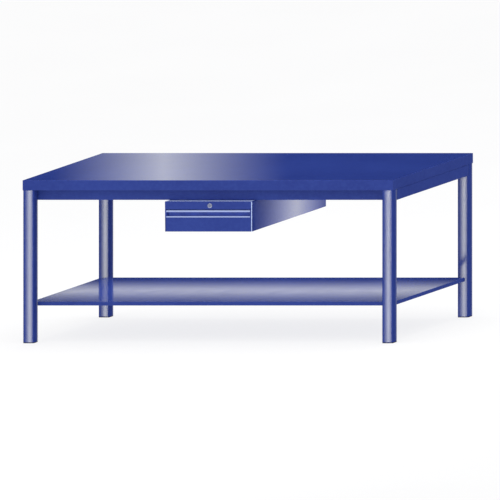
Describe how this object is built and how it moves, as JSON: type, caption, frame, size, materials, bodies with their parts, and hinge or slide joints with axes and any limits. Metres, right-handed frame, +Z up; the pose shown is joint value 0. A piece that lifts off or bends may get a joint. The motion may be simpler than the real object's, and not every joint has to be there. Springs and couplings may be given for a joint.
{
  "type": "workbench with drawer",
  "caption": "Steel workbench with a lockable drawer hung under the worktop on telescopic runners and a full-length lower shelf between four legs.",
  "frame": {"origin": "on the floor, under the centre of the worktop", "axes": "+X to the right along the worktop's length, +Y to the back, +Z up; the drawer opens towards -Y"},
  "size_m": [2, 0.75, 0.88],
  "materials": {
    "blue_enamel": "semi-gloss stoved enamel",
    "blue_plastic": "fine-textured moulded plastic",
    "grip_aluminium": "satin anodised",
    "zinc_plate": "bright zinc plate",
    "nickel": "satin nickel plate",
    "plywood": "unfinished plywood",
    "black_plastic": "moulded plastic"
  },
  "bodies": {
    "bench": {"worktop_cover": "blue_enamel", "front_rail": "blue_enamel", "rear_rail": "blue_enamel", "left_end_rail": "blue_enamel", "right_end_rail": "blue_enamel", "cross_member_left": "blue_enamel", "cross_member_right": "blue_enamel", "leg_front_left": "blue_enamel", "leg_front_right": "blue_enamel", "leg_rear_left": "blue_enamel", "leg_rear_right": "blue_enamel", "shelf": "blue_enamel", "shelf_stiffener_left": "blue_enamel", "shelf_stiffener_middle": "blue_enamel", "shelf_stiffener_right": "blue_enamel", "housing_shell": "blue_enamel", "housing_bottom": "blue_enamel", "housing_back": "blue_enamel", "lock_rail": "blue_enamel", "worktop_board": "plywood", "foot_plug_front_left": "black_plastic", "foot_plug_front_right": "black_plastic", "foot_plug_rear_left": "black_plastic", "foot_plug_rear_right": "black_plastic", "shelf_bolt_front_left": "zinc_plate", "shelf_bolt_front_right": "zinc_plate", "shelf_bolt_rear_left": "zinc_plate", "shelf_bolt_rear_right": "zinc_plate", "lower_rail_bolt_front_left": "zinc_plate", "lower_rail_bolt_front_right": "zinc_plate", "lower_rail_bolt_rear_left": "zinc_plate", "lower_rail_bolt_rear_right": "zinc_plate", "upper_rail_bolt_front_left": "zinc_plate", "upper_rail_bolt_front_right": "zinc_plate", "upper_rail_bolt_rear_left": "zinc_plate", "upper_rail_bolt_rear_right": "zinc_plate", "housing_bolt_front_left": "zinc_plate", "housing_bolt_front_right": "zinc_plate", "housing_bolt_rear_left": "zinc_plate", "housing_bolt_rear_right": "zinc_plate", "runner_outer_left": "zinc_plate", "runner_outer_right": "zinc_plate", "lock_nut": "zinc_plate", "lock_barrel": "nickel"},
    "drawer": {"drawer_front": "blue_enamel", "grip_channel": "grip_aluminium", "grip_cap_left": "blue_plastic", "grip_cap_right": "blue_plastic", "label_strip": "blue_plastic", "drawer_inner_front": "blue_enamel", "drawer_body": "blue_enamel", "drawer_back_wall": "blue_enamel", "lock_strike": "zinc_plate", "runner_inner_left": "zinc_plate", "runner_inner_right": "zinc_plate"},
    "middle_runner_left": {"runner_middle_left": "zinc_plate"},
    "middle_runner_right": {"runner_middle_right": "zinc_plate"},
    "lock_core": {"lock_plug": "nickel", "lock_cam": "zinc_plate", "cam_screw": "zinc_plate"}
  },
  "joints": [
    {"name": "drawer_slide", "type": "slide", "parent": "bench", "child": "drawer", "axis": [0, -1, 0], "range_m": [0, 0.5]},
    {"name": "middle_runner_left_slide", "type": "slide", "parent": "bench", "child": "middle_runner_left", "axis": [0, -1, 0], "range_m": [0, 0.25]},
    {"name": "middle_runner_right_slide", "type": "slide", "parent": "bench", "child": "middle_runner_right", "axis": [0, -1, 0], "range_m": [0, 0.25]},
    {"name": "lock_turn", "type": "hinge", "parent": "bench", "child": "lock_core", "pos_m": [0.008, -0.369, 0.742], "axis": [0, 1, 0], "range_deg": [0, 90]}
  ],
  "couplings": [
    {"joint": "middle_runner_left_slide", "follows": "drawer_slide", "ratio": 0.5},
    {"joint": "middle_runner_right_slide", "follows": "drawer_slide", "ratio": 0.5}
  ]
}
